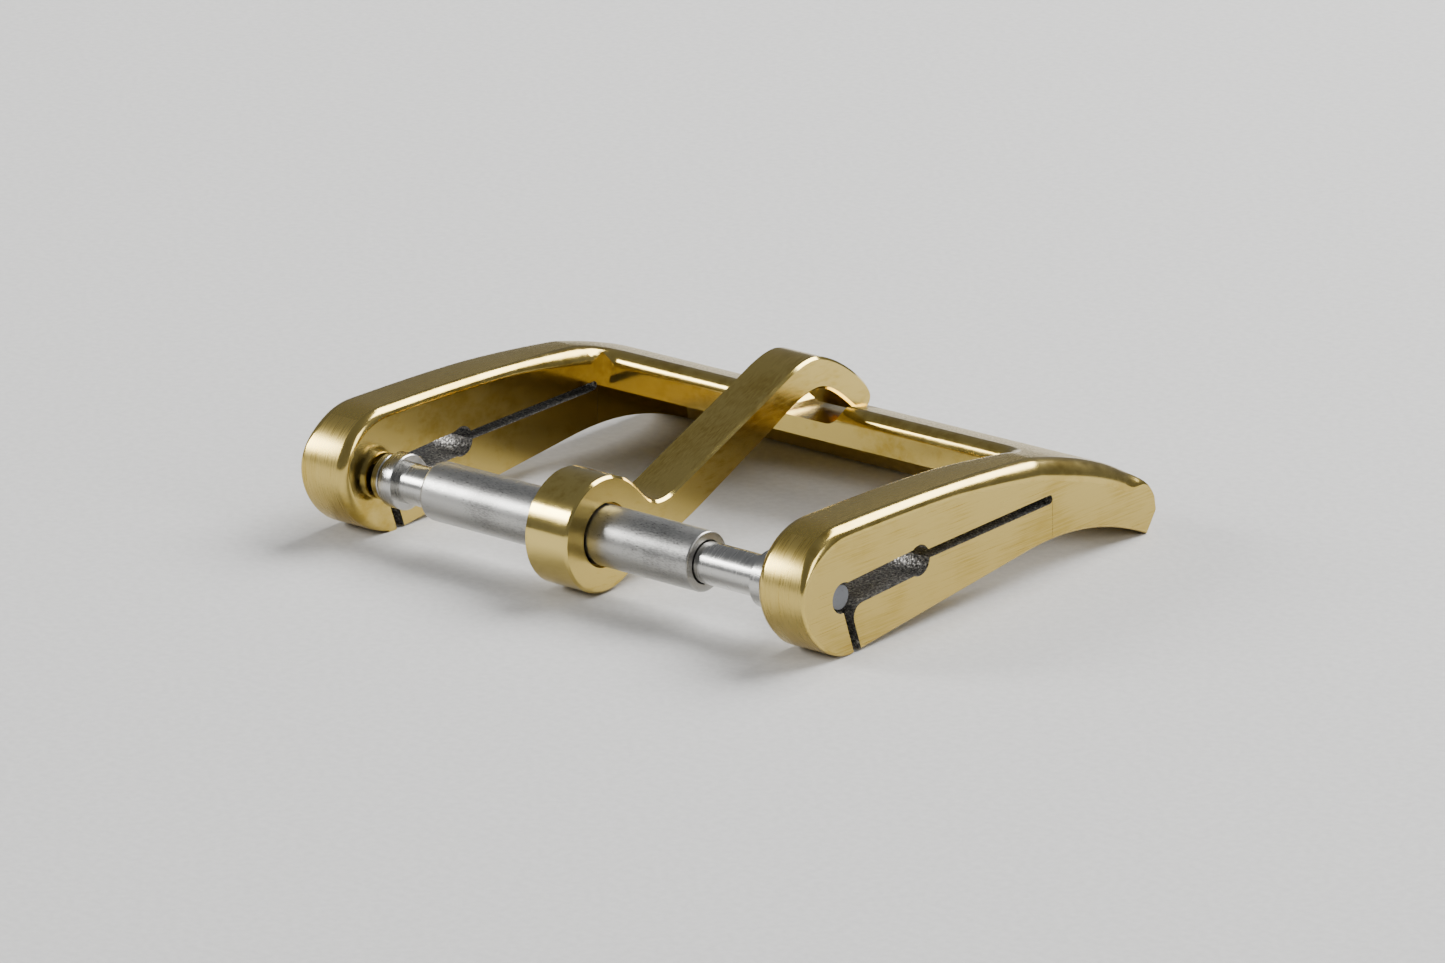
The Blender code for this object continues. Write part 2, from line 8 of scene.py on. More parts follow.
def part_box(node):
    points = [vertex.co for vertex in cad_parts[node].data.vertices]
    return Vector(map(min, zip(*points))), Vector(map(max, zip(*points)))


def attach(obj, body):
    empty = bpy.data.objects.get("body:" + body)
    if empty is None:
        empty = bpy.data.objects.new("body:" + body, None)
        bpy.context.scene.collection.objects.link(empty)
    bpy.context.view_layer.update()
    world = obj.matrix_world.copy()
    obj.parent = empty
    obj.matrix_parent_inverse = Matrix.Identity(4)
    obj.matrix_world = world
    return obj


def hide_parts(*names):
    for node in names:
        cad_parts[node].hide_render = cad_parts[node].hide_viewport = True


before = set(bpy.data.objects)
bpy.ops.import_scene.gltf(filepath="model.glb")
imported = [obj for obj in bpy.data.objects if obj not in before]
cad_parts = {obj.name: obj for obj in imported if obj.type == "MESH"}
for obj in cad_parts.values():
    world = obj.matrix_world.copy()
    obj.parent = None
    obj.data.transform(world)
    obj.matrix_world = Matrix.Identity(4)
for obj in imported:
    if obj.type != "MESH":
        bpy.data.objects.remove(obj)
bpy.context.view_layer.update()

# ------------------------------------------------------------------- Frame
# The U-shaped frame is one milled steel piece, gold plated: its outer sides are brushed along
# the arms, its top is satin, its rounded rims and inner faces are polished to a mirror.
# The slots that take the bar are spark-cut and left as bare, pitted grey metal.

MM = 0.001
tube_low, tube_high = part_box("bar_tube")
AXIS_Y = (tube_low.y + tube_high.y) / 2
AXIS_Z = (tube_low.z + tube_high.z) / 2
BAR_HEIGHT = AXIS_Z / MM
HALF_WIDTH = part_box("frame")[1].x / MM
HALF_GAP = HALF_WIDTH - 1.8
NOSE_REACH = (AXIS_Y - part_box("frame")[0].y) / MM
LIP_REACH = (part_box("frame")[1].y - AXIS_Y) / MM
WINDOW_REACH = 9.75       # bar axis to the crossbar's inner face
CROSS_T = 1.16            # thickness of the crossbar's curved band
ARM_RISE = 2.08           # bar axis to the top of the arms
CORNER_R = 0.55           # window corner, in plan
RIM_R = 0.32              # polished rounding of the arms' inner top edge
CROSS_RIM_R = 0.55        # the same rounding along the crossbar
SIDE_DEEP = 0.62          # how far the outer rounding reaches across the arm
SEAT_R = 0.46
KEYHOLE_R = 0.47
KEYHOLE = (3.38, 0.21)
CHANNEL_HALF = 0.40
SLIT_W = 0.28
NOSE_SLIT_W = 0.32
NOSE_SLIT = (0.19, -SEAT_R)
ROOT_Y = WINDOW_REACH - 0.30
NOTCH_HALF = 1.15
FAR = 30.0

GOLD = "#CDB568"
GOLD_DEEP = "#B99E4C"

CROWN = (0.30, ARM_RISE)
BELLY = (0.35, -BAR_HEIGHT)
SHOULDER = (WINDOW_REACH - 0.75, ARM_RISE - 0.34)
LIP_TOP = (LIP_REACH - 0.07, ARM_RISE - 2.80)
LIP_EDGE = (LIP_REACH, LIP_TOP[1] - 0.42)
LIP_LOW = (LIP_REACH - 0.45, -BAR_HEIGHT)
HEEL = (WINDOW_REACH - 1.45, -BAR_HEIGHT + 0.94)


def place(x, y, z):
    """A point given in millimetres from the bar's axis, in the row frame."""
    return Vector((x * MM, y * MM + AXIS_Y, z * MM + AXIS_Z))


def linear(colour):
    """An sRGB hex colour as linear RGBA."""
    parts = [int(colour[i:i + 2], 16) / 255 for i in (1, 3, 5)]
    return [c / 12.92 if c < 0.04045 else ((c + 0.055) / 1.055) ** 2.4 for c in parts] + [1.0]


def add(tree, kind, inputs=(), **settings):
    """One shader node, its settings and its inputs, which are values or other nodes' outputs."""
    made = tree.nodes.new(kind)
    for key, value in settings.items():
        setattr(made, key, value)
    for key, value in dict(inputs).items():
        if isinstance(value, bpy.types.NodeSocket):
            tree.links.new(value, made.inputs[key])
        else:
            made.inputs[key].default_value = value
    return made


def ramp(tree, factor, stops):
    made = add(tree, "ShaderNodeValToRGB", {"Fac": factor})
    made.color_ramp.elements[0].position = stops[0][0]
    made.color_ramp.elements[1].position = stops[-1][0]
    for position, colour in stops[1:-1]:
        made.color_ramp.elements.new(position)
    for element, stop in zip(made.color_ramp.elements, stops):
        element.color = linear(stop[1])
    return made.outputs["Color"]


def metal(name, light, deep, rough, grain, depth):
    """A metal finish. Rough is its roughness range, grain its streaks per millimetre along
    x, y and z, and depth how deep they are cut, in micrometres."""
    mat = bpy.data.materials.new(name)
    mat.use_nodes = True
    tree = mat.node_tree
    shader = tree.nodes["Principled BSDF"]
    where = add(tree, "ShaderNodeTexCoord").outputs["Object"]
    scaled = add(tree, "ShaderNodeMapping", {"Vector": where, "Scale": [g / MM for g in grain]})
    streaks = add(tree, "ShaderNodeTexNoise", {"Vector": scaled.outputs[0], "Scale": 1.0,
                                               "Detail": 4.0, "Roughness": 0.65})
    drift = add(tree, "ShaderNodeTexNoise", {"Vector": where, "Scale": 0.45 / MM, "Detail": 3.0})
    both = add(tree, "ShaderNodeMath", {0: streaks.outputs["Fac"], 1: drift.outputs["Fac"]},
               operation="ADD")
    colour = ramp(tree, both.outputs[0], [(0.72, deep), (1.28, light)])
    spread = add(tree, "ShaderNodeMapRange", {"Value": streaks.outputs["Fac"], "From Min": 0.3,
                                              "From Max": 0.7, "To Min": rough[0],
                                              "To Max": rough[1]})
    relief = add(tree, "ShaderNodeBump", {"Height": streaks.outputs["Fac"], "Strength": 1.0,
                                          "Distance": depth * MM * MM})
    tree.links.new(colour, shader.inputs["Base Color"])
    tree.links.new(spread.outputs[0], shader.inputs["Roughness"])
    tree.links.new(relief.outputs[0], shader.inputs["Normal"])
    shader.inputs["Metallic"].default_value = 1.0
    return mat


def spark_cut(name):
    """Bare steel left by spark erosion: grey craters with bright flecks, nowhere shiny."""
    mat = bpy.data.materials.new(name)
    mat.use_nodes = True
    tree = mat.node_tree
    shader = tree.nodes["Principled BSDF"]
    where = add(tree, "ShaderNodeTexCoord").outputs["Object"]
    pits = add(tree, "ShaderNodeTexNoise", {"Vector": where, "Scale": 14 / MM, "Detail": 5.0,
                                            "Roughness": 0.7})
    cells = add(tree, "ShaderNodeTexVoronoi", {"Vector": where, "Scale": 11 / MM})
    colour = ramp(tree, pits.outputs["Fac"], [(0.36, "#5A5856"), (0.52, "#8B8986"),
                                              (0.64, "#E4E0D6")])
    relief = add(tree, "ShaderNodeBump", {"Height": cells.outputs["Distance"], "Strength": 1.0,
                                          "Distance": 0.02 * MM})
    tree.links.new(colour, shader.inputs["Base Color"])
    tree.links.new(relief.outputs[0], shader.inputs["Normal"])
    shader.inputs["Metallic"].default_value = 1.0
    shader.inputs["Roughness"].default_value = 0.48
    return mat


def bezier(start, leave, arrive, end, count):
    flat = [Vector((p[0], p[1], 0.0)) for p in (start, leave, arrive, end)]
    return [(p.x, p.y) for p in geometry.interpolate_bezier(*flat, count)]


def arc(centre, radius, start, end, count):
    steps = [start + (end - start) * i / (count - 1) for i in range(count)]
    return [(centre[0] + radius * cos(a), centre[1] + radius * sin(a)) for a in steps]


def along(point, angle, distance):
    return (point[0] + distance * cos(angle), point[1] + distance * sin(angle))


def bearing(centre, point):
    return atan2(point[1] - centre[1], point[0] - centre[0])


def solid(name, rings, mat):
    """A solid grown from its first ring of points through the others, one extrusion each."""
    mesh = bpy.data.meshes.new(name)
    mesh.materials.append(mat)
    bm = bmesh.new()
    slot = bm.verts.layers.int.new("slot")
    first = [bm.verts.new(point) for point in rings[0]]
    for i, vert in enumerate(first):
        vert[slot] = i
    cap = bm.faces.new(first)
    caps = []
    for ring in rings[1:]:
        grown = bmesh.ops.extrude_face_region(bm, geom=[cap])["geom"]
        cap = next(f for f in grown if isinstance(f, bmesh.types.BMFace))
        caps.append(cap)
        for vert in cap.verts:
            vert.co = ring[vert[slot]]
    bmesh.ops.delete(bm, geom=caps[:-1], context="FACES_ONLY")
    bmesh.ops.recalc_face_normals(bm, faces=bm.faces)
    bm.to_mesh(mesh)
    bm.free()
    obj = bpy.data.objects.new(name, mesh)
    bpy.context.scene.collection.objects.link(obj)
    return obj


def prism(name, outline, x_low, x_high, mat):
    """The (y, z) outline, drawn out along X."""
    return solid(name, [[place(x, y, z) for y, z in outline] for x in (x_low, x_high)], mat)


def cut(obj, tool, operation="DIFFERENCE"):
    """Cuts obj with the tool, whose material the cut faces take, and removes the tool."""
    step = obj.modifiers.new("Cut", "BOOLEAN")
    step.operation = operation
    step.solver = "EXACT"
    step.material_mode = "TRANSFER"
    step.object = tool
    bpy.context.view_layer.update()
    made = obj.evaluated_get(bpy.context.evaluated_depsgraph_get())
    mesh = bpy.data.meshes.new_from_object(made)
    obj.modifiers.clear()
    obj.data = mesh
    bpy.data.objects.remove(tool)
    bm = bmesh.new()
    bm.from_mesh(mesh)
    bmesh.ops.remove_doubles(bm, verts=bm.verts, dist=0.0006 * MM)
    bm.to_mesh(mesh)
    bm.free()


def polish(obj, sharp):
    """Smooth shading that keeps true edges crisp and flat faces flat."""
    obj.data.shade_smooth()
    obj.data.set_sharp_from_angle(angle=radians(sharp))
    step = obj.modifiers.new("Normals", "WEIGHTED_NORMAL")
    step.keep_sharp = True
    step.weight = 80


def nose_curve():
    front = (-NOSE_REACH, 0.30)
    lower = bezier(BELLY, (BELLY[0] - 1.05, BELLY[1]), (front[0], front[1] - 1.05), front, 26)
    upper = bezier(front, (front[0], front[1] + 0.95), (CROWN[0] - 1.20, CROWN[1]), CROWN, 26)
    return lower + upper[1:]


def band_curve():
    run = LIP_TOP[0] - SHOULDER[0]
    return bezier(SHOULDER, (SHOULDER[0] + 0.45 * run, SHOULDER[1] - 0.50),
                  (LIP_TOP[0] - 0.08 * run, LIP_TOP[1] + 1.08), LIP_TOP, 40)


def top_curve():
    reach = SHOULDER[0] - CROWN[0]
    over = bezier(CROWN, (CROWN[0] + 0.48 * reach, CROWN[1] + 0.03),
                  (SHOULDER[0] - 0.30 * reach, SHOULDER[1] + 0.27), SHOULDER, 40)
    return over + band_curve()[1:]


def lower_curve():
    run = LIP_LOW[0] - HEEL[0]
    arch = bezier(LIP_LOW, (LIP_LOW[0] - 0.36 * run, LIP_LOW[1] + 0.95),
                  (HEEL[0] + 0.33 * run, HEEL[1] + 0.22), HEEL, 34)
    belly = [(HEEL[0] + (BELLY[0] - HEEL[0]) * i / 16, HEEL[1] + (BELLY[1] - HEEL[1]) * i / 16)
             for i in range(1, 16)]
    return arch + belly


def inset(outline, widths):
    """The closed outline moved inwards at each point by that point's width."""
    moved = []
    for i, (y, z) in enumerate(outline):
        before = Vector(outline[i - 1])
        after = Vector(outline[(i + 1) % len(outline)])
        here = Vector((y, z))
        ahead = (after - here).normalized()
        behind = (here - before).normalized()
        normal = Vector((ahead.y + behind.y, -ahead.x - behind.x)).normalized()
        square = max(normal.dot(Vector((ahead.y, -ahead.x))), 0.5)
        step = normal * (widths[i] / square)
        moved.append((y + step.x, z + step.y))
    return moved


def side_widths(outline):
    """Width of the polished rounding along the outer side: slim below, wide behind and above."""
    raw = []
    for y, z in outline:
        if z < -BAR_HEIGHT + 1.05 + 0.06 * y and y > CROWN[0] - 0.9:
            raw.append(0.08)
        else:
            front = min(max(1.7 - z, 0.0), 1.0) if y < CROWN[0] else 0.0
            raw.append(0.38 + 0.24 * min(max((y - 5.0) / 5.0, 0.0), 1.0) - 0.28 * front)
    smooth = []
    for y, z in outline:
        near = [exp(-((y - v) ** 2 + (z - w) ** 2) / 0.12) for v, w in outline]
        mean = sum(a * b for a, b in zip(near, raw)) / sum(near)
        room = [base + 0.45 * (Vector((y, z)) - Vector(corner)).length
                for corner, base in ((LIP_EDGE, 0.20), (LIP_LOW, 0.10))]
        smooth.append(min(mean, *room))
    return smooth


def frame_blank(side, satin, polished, nose):
    """The frame's full side profile across its width, with rounded outer rims."""
    outline = nose_curve() + top_curve()[1:] + [LIP_EDGE] + lower_curve()
    widths = side_widths(outline)
    steps = 9
    half = []
    for i in range(steps + 1):
        turn = i / steps * pi / 2
        ring = inset(outline, [w * (1 - sin(turn)) for w in widths])
        half.append([(HALF_WIDTH - SIDE_DEEP / 0.62 * w * (1 - cos(turn)), y, z)
                     for w, (y, z) in zip(widths, ring)])
    rings = [[(-x, y, z) for x, y, z in ring] for ring in half] + half[::-1]
    blank = solid("gold_frame", [[place(*p) for p in ring] for ring in rings], side)
    for mat in (polished, satin, nose):
        blank.data.materials.append(mat)
    for face in blank.data.polygons:
        middle = face.center
        if abs(face.normal.x) > 0.9999:
            face.material_index = 0
        elif abs(middle.x) > 1 * MM:
            face.material_index = 1
        elif middle.y - AXIS_Y < (CROWN[0] - 1.0) * MM:
            face.material_index = 3
        else:
            face.material_index = 2
    return blank


def window_cutter(mat):
    """The opening between the arms, and the hollow under the crossbar's band."""
    outer = band_curve()[::3]
    inner = []
    for before, after in zip(outer, outer[1:]):
        run = Vector((after[0] - before[0], after[1] - before[1])).normalized()
        middle = ((before[0] + after[0]) / 2, (before[1] + after[1]) / 2)
        inner.append((middle[0] + run.y * CROSS_T, middle[1] - run.x * CROSS_T))
    kept = [p for p in inner if p[0] > WINDOW_REACH + 0.35]
    last = kept[-1]
    fall = Vector((last[0] - kept[-2][0], last[1] - kept[-2][1])).normalized()
    start = (WINDOW_REACH, kept[0][1] + 0.05 + (kept[0][0] - WINDOW_REACH) * 0.2)
    hollow = [start] + kept + [(last[0] + fall.x * 4, last[1] + fall.y * 4)]
    outline = [(-FAR, FAR), (-FAR, -FAR), (hollow[-1][0], -FAR)] + hollow[::-1]
    outline += [(WINDOW_REACH, FAR)]
    tool = prism("window_cutter", outline, -HALF_GAP, HALF_GAP, mat)
    bm = bmesh.new()
    bm.from_mesh(tool.data)
    face_y = place(0, WINDOW_REACH, 0).y
    posts = [e for e in bm.edges if all(abs(v.co.y - face_y) < 1e-7 for v in e.verts)
             and abs(e.verts[0].co.x - e.verts[1].co.x) < 1e-7]
    bmesh.ops.bevel(bm, geom=posts, offset=CORNER_R * MM, offset_type="OFFSET", segments=12,
                    profile=0.5, affect="EDGES", material=-1)
    bm.to_mesh(tool.data)
    bm.free()
    return tool


def rim_section(r, clear):
    """Across the metal taken off an edge to round it: (distance in from the wall, height over
    the surface)."""
    bend = [(r * (1 - cos(a)), -r * (1 - sin(a))) for a in [i / 9 * pi / 2 for i in range(10)]]
    bend[0] = (-0.002, -r)
    bend[-1] = (r, 0.002)
    return bend + [(r, clear), (-clear, clear), (-clear, -r)]


def rim_cutter(mat):
    """A bar of metal to take off along the window's top edge, from one nose round to the
    other, so that the edge is left rounded."""
    top = top_curve()

    def height(y):
        for (y0, z0), (y1, z1) in zip(top, top[1:]):
            if y <= y1:
                return z0 + (z1 - z0) * (y - y0) / (y1 - y0)
        return top[-1][1]

    half = []
    nose = nose_curve()
    for i, (y, z) in enumerate(nose[2:-1], 2):
        run = Vector((nose[i + 1][0] - nose[i - 1][0], nose[i + 1][1] - nose[i - 1][1])).normalized()
        r = RIM_R * min(0.1 + i / 14, 1.0)
        half.append([(HALF_GAP + s, y - run.y * h, z + run.x * h) for s, h in rim_section(r, 0.3)])
    bend_y = WINDOW_REACH - CORNER_R
    for i in range(31):
        y = CROWN[0] + (bend_y - CROWN[0]) * i / 31
        grow = min(max((y - 5.5) / (bend_y - 5.5), 0.0), 1.0)
        r = RIM_R + (CROSS_RIM_R - RIM_R) * grow * grow * (3 - 2 * grow)
        half.append([(HALF_GAP + s, y, height(y) + h) for s, h in rim_section(r, 0.3)])
    for i in range(13):
        turn = i / 12 * pi / 2
        ring = []
        for s, h in rim_section(CROSS_RIM_R, 0.3):
            x = HALF_GAP - CORNER_R + (CORNER_R + s) * cos(turn)
            y = bend_y + (CORNER_R + s) * sin(turn)
            ring.append((x, y, height(y) + h))
        half.append(ring)
    rings = half + [[(-x, y, z) for x, y, z in ring] for ring in half[::-1]]
    return solid("rim_cutter", [[place(*p) for p in ring] for ring in rings], mat)


def tang_tip():
    """Lowest point of the tang's hook, in the notch."""
    return (WINDOW_REACH + 2.25 - 0.43, ARM_RISE - 1.24)


def notch_section():
    """The notch from one flank over the floor to the other, as (x, height over the floor)."""
    side = NOTCH_HALF + 0.30
    half = [(-side - 0.25, 3.0), (-side, 0.55)]
    half += bezier((-side, 0.45), (-NOTCH_HALF - 0.15, 0.12), (-NOTCH_HALF, 0.0),
                   (-NOTCH_HALF + 0.30, 0.0), 14)
    return half + [(-x, z) for x, z in half[::-1]]


def notch_cutter(mat):
    """The trough across the crossbar where the tang's point lies."""
    tip = tang_tip()
    back = tip[1] - 0.07
    fall = 0.16 / (tip[0] - WINDOW_REACH)
    section = notch_section()
    ends = ((WINDOW_REACH - 1.0, back + 0.16 + fall), (LIP_REACH, back + 0.16 - fall * (LIP_REACH - WINDOW_REACH)))
    return solid("notch_cutter", [[place(x, y, low + z) for x, z in section] for y, low in ends], mat)


def circle_hit(centre, radius, point, angle, side):
    """Where the line through point at angle meets the circle; side picks which end."""
    dx = point[0] - centre[0]
    dy = point[1] - centre[1]
    half = dx * cos(angle) + dy * sin(angle)
    root = sqrt(half * half - (dx * dx + dy * dy - radius * radius))
    return along(point, angle, -half + side * root)


SLIT_START = (KEYHOLE[0], KEYHOLE[1] + 0.09)
SLIT_END = (ROOT_Y - SLIT_W / 2, KEYHOLE[1] + 0.27)
SLIT_DOWN = -pi / 2 + atan2(0.33, 1.0)


def slot_outline():
    """Nose slit, seat, channel, keyhole and long slit as one loop."""
    seat = (0.0, 0.0)
    slope = bearing(seat, KEYHOLE)
    left = along(NOSE_SLIT, SLIT_DOWN + pi / 2, -NOSE_SLIT_W / 2)
    right = along(NOSE_SLIT, SLIT_DOWN + pi / 2, NOSE_SLIT_W / 2)
    upper = along(seat, slope + pi / 2, CHANNEL_HALF)
    lower = along(seat, slope + pi / 2, -CHANNEL_HALF)
    tilt = bearing(SLIT_START, SLIT_END)
    slit_top = along(SLIT_START, tilt + pi / 2, SLIT_W / 2)
    slit_low = along(SLIT_START, tilt + pi / 2, -SLIT_W / 2)
    around = bearing(seat, circle_hit(seat, SEAT_R, left, SLIT_DOWN, 1)) + 2 * pi
    points = [along(left, SLIT_DOWN, 6.0)]
    points += arc(seat, SEAT_R, around, bearing(seat, circle_hit(seat, SEAT_R, upper, slope, 1)), 48)
    points += arc(KEYHOLE, KEYHOLE_R, bearing(KEYHOLE, circle_hit(KEYHOLE, KEYHOLE_R, upper, slope, -1)),
                  bearing(KEYHOLE, circle_hit(KEYHOLE, KEYHOLE_R, slit_top, tilt, 1)), 20)
    points += arc(SLIT_END, SLIT_W / 2, tilt + pi / 2, tilt - pi / 2, 14)
    points += arc(KEYHOLE, KEYHOLE_R, bearing(KEYHOLE, circle_hit(KEYHOLE, KEYHOLE_R, slit_low, tilt, 1)),
                  bearing(KEYHOLE, circle_hit(KEYHOLE, KEYHOLE_R, lower, slope, -1)), 20)
    den = cos(slope) * sin(SLIT_DOWN) - sin(slope) * cos(SLIT_DOWN)
    dx = right[0] - lower[0]
    dy = right[1] - lower[1]
    corner = along(lower, slope, (dx * sin(SLIT_DOWN) - dy * cos(SLIT_DOWN)) / den)
    reach = 0.40 / abs(tan((slope - SLIT_DOWN) / 2))
    points += bezier(along(corner, slope, reach), along(corner, slope, reach * 0.45),
                     along(corner, SLIT_DOWN, reach * 0.45), along(corner, SLIT_DOWN, reach), 16)
    return points + [along(right, SLIT_DOWN, 6.0)]


def leaf_envelope(grow):
    """Everything below the slots and in front of the leaf's root."""
    mouth = (NOSE_SLIT[0], -SEAT_R * 0.9)
    root = ROOT_Y + grow
    return [along(mouth, SLIT_DOWN, 6.0), mouth, KEYHOLE, (root - SLIT_W / 2 - grow, SLIT_END[1]),
            (root, SLIT_END[1]), (root, -6.0)]


# Outer sides: plated over fine straight brushing that runs along the arm.
gold_brushed = metal("gold_brushed_lengthwise", GOLD, GOLD_DEEP, (0.26, 0.42), (9, 0.5, 22), 4.0)
# Rims, inner faces and notch: plated over mirror polish, with only faint handling marks.
gold_mirror = metal("gold_mirror_polish", GOLD, GOLD_DEEP, (0.13, 0.20), (2.4, 1.6, 2.4), 0.25)
# Top of the arms and crossbar: plated over a soft satin.
gold_satin = metal("gold_satin", "#C9B164", "#BFA758", (0.24, 0.30), (40, 3.0, 40), 0.08)
# Front of the noses: brushed up and down.
gold_nose = metal("gold_brushed_upright", GOLD, GOLD_DEEP, (0.24, 0.34), (28, 0.9, 0.7), 0.5)
# Slot walls.
bare_steel = spark_cut("spark_cut_steel")

body = frame_blank(gold_brushed, gold_satin, gold_mirror, gold_nose)
cut(body, window_cutter(gold_mirror))
cut(body, rim_cutter(gold_mirror))
cut(body, notch_cutter(gold_mirror))
cut(body, prism("slot_cutter", slot_outline(), -FAR, FAR, bare_steel))

# --------------------------------------------------------------- Spring leaves
# Below each arm's slots the metal is left as a thin springy tongue that snaps past the bar.
# It is the arm's own metal, so it carries the same brushing across the joint line.

ROOT_GAP = 0.010

for name, side in (("leaf_left", -1), ("leaf_right", 1)):
    leaf = bpy.data.objects.new("gold_" + name, body.data.copy())
    bpy.context.scene.collection.objects.link(leaf)
    spans = sorted((side * (HALF_GAP - 1.0), side * FAR))
    cut(leaf, prism("envelope", leaf_envelope(0.0), *spans, bare_steel), "INTERSECT")
    polish(leaf, 32)
    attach(leaf, name)
    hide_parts(name)

cut(body, prism("leaf_cutter", leaf_envelope(ROOT_GAP), -FAR, FAR, bare_steel))
polish(body, 32)
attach(body, "frame")
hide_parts("frame")

# ------------------------------------------------------------------------ Tang
# The tang is a strip of gold-plated steel bent round the bar's tube and over the crossbar.
# Its faces are finely satined and all its long edges carry a narrow polished chamfer.

TANG_HALF = (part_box("tang")[1].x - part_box("tang")[0].x) / 2 / MM
TANG_T = 1.02
TANG_CREST = 3.06
TANG_BEVEL = 0.075
EYE_BORE_R = 0.98
EYE_R = 1.75


def tang_line(y):
    return -0.27 + (y - 4.1) * 0.46


def tang_outline():
    """The strip's side view: round the eye, down into the dip, up and over the hook."""
    crest = (WINDOW_REACH - 0.45, TANG_CREST)
    dip = (EYE_R + 0.58, 0.45)
    rise = (WINDOW_REACH - 2.05, 2.55)
    tip = tang_tip()
    leave = radians(57)
    low = 2 * pi - 1.02
    eye = arc((0, 0), EYE_R, leave, low, 84)
    off = eye[-1]
    slope = atan2(0.46, 1.0)
    strip_low = (WINDOW_REACH - 2.45, tang_line(WINDOW_REACH - 2.45))
    under = bezier(off, along(off, low + pi / 2, 0.5),
                   along((4.1, tang_line(4.1)), slope + pi, 0.9), (4.1, tang_line(4.1)), 18)
    arch_top = (WINDOW_REACH - 0.25, TANG_CREST - TANG_T)
    arch = bezier(strip_low, along(strip_low, slope, 0.75), (arch_top[0] - 0.75, arch_top[1] - 0.02),
                  arch_top, 22)
    hook = bezier(arch_top, (arch_top[0] + 0.70, arch_top[1]), (tip[0] - 0.62, tip[1] + 0.38),
                  (tip[0] - 0.18, tip[1] + 0.05), 22)
    end = (WINDOW_REACH + 2.25, tip[1] + 0.42)
    point = bezier(tip, (tip[0] + 0.22, tip[1] - 0.03), (end[0] + 0.02, end[1] - 0.25), end, 12)
    back = bezier(end, (end[0] - 0.02, end[1] + 0.45), (crest[0] + 0.95, crest[1] + 0.03), crest, 30)
    over = bezier(crest, (crest[0] - 0.55, crest[1] - 0.02), along(rise, slope, 0.55), rise, 16)
    valley = bezier((dip[0] + 0.85, dip[1] + 0.17), (dip[0] + 0.35, dip[1] - 0.06),
                    (dip[0] - 0.10, dip[1] - 0.07), (dip[0] - 0.40, dip[1] + 0.14), 20)
    shoulder = bezier(valley[-1], along(valley[-1], radians(141), 0.45),
                      along(eye[0], leave - pi / 2, 0.45), eye[0], 14)
    outline = eye + under[1:] + arch + hook[1:] + point + back[1:] + over[1:]
    return outline + valley + shoulder[1:-1]


# Faces: satin with a fine grain along the strip.
tang_satin = metal("gold_tang_satin", "#D2BA6C", GOLD_DEEP, (0.18, 0.26), (30, 2.0, 8), 0.5)
# Chamfers and the eye's bore: mirror polish.
tang_mirror = metal("gold_tang_chamfer", "#D8C173", GOLD_DEEP, (0.09, 0.14), (1.6, 1.2, 1.6), 0.2)

tang = prism("gold_tang", tang_outline(), -TANG_HALF, TANG_HALF, tang_satin)
tang.data.materials.append(tang_mirror)
bm = bmesh.new()
bm.from_mesh(tang.data)
rims = [e for e in bm.edges if abs(e.verts[0].co.x - e.verts[1].co.x) < 1e-8]
bmesh.ops.bevel(bm, geom=rims, offset=TANG_BEVEL * MM, offset_type="OFFSET", segments=1,
                profile=0.5, affect="EDGES", material=1)
bm.to_mesh(tang.data)
bm.free()
for face in tang.data.polygons:
    reach = (face.center - place(face.center.x / MM, 0, 0)).length / MM
    if abs(face.normal.x) < 0.1 and reach < EYE_R + 0.01:
        face.material_index = 1
cut(tang, prism("eye_cutter", arc((0, 0), EYE_BORE_R, 0, 2 * pi * 95 / 96, 96), -FAR, FAR, tang_mirror))
polish(tang, 28)
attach(tang, "tang")
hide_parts("tang")

# ------------------------------------------------------------------------ Tube
# The bar's outer tube is drawn stainless steel, turned to a fine satin and rolled in at its
# ends, where it holds the two plungers.

TUBE_R = 0.90
BORE_R = 0.72
MOUTH_R = 0.66
LIP_L = 0.35
left = tube_low.x / MM
right = tube_high.x / MM


def turned(name, profile, segments, mat):
    """A piece turned round the bar's axis from an (x, radius) profile."""
    mesh = bpy.data.meshes.new(name)
    mesh.materials.append(mat)
    bm = bmesh.new()
    closed = profile[0] == profile[-1]
    points = profile[:-1] if closed else profile
    verts = [bm.verts.new(place(x, r, 0)) for x, r in points]
    pairs = list(zip(verts, verts[1:]))
    if closed:
        pairs.append((verts[-1], verts[0]))
    edges = [bm.edges.new(pair) for pair in pairs]
    bmesh.ops.spin(bm, geom=verts + edges, cent=place(0, 0, 0), axis=(1, 0, 0), angle=2 * pi,
                   steps=segments, use_merge=True)
    bmesh.ops.remove_doubles(bm, verts=bm.verts, dist=0.0005 * MM)
    bmesh.ops.recalc_face_normals(bm, faces=bm.faces)
    bm.to_mesh(mesh)
    bm.free()
    obj = bpy.data.objects.new(name, mesh)
    bpy.context.scene.collection.objects.link(obj)
    return obj


# Satin stainless: a fine even grain from barrel finishing.
steel_satin = metal("steel_satin", "#B2B1AD", "#8E8D8A", (0.26, 0.42), (9, 26, 26), 2.0)

shoulder = arc((left + 0.16, TUBE_R - 0.16), 0.16, pi, pi / 2, 8)
rim = arc((right - 0.06, TUBE_R - 0.06), 0.06, pi / 2, 0, 6)
profile = [(left, MOUTH_R)] + shoulder + rim + [(right, MOUTH_R), (right - LIP_L, MOUTH_R),
           (right - LIP_L, BORE_R), (left + LIP_L, BORE_R), (left + LIP_L, MOUTH_R), (left, MOUTH_R)]
tube = turned("steel_tube", profile, 128, steel_satin)
polish(tube, 40)
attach(tube, "tube")
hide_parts("bar_tube")

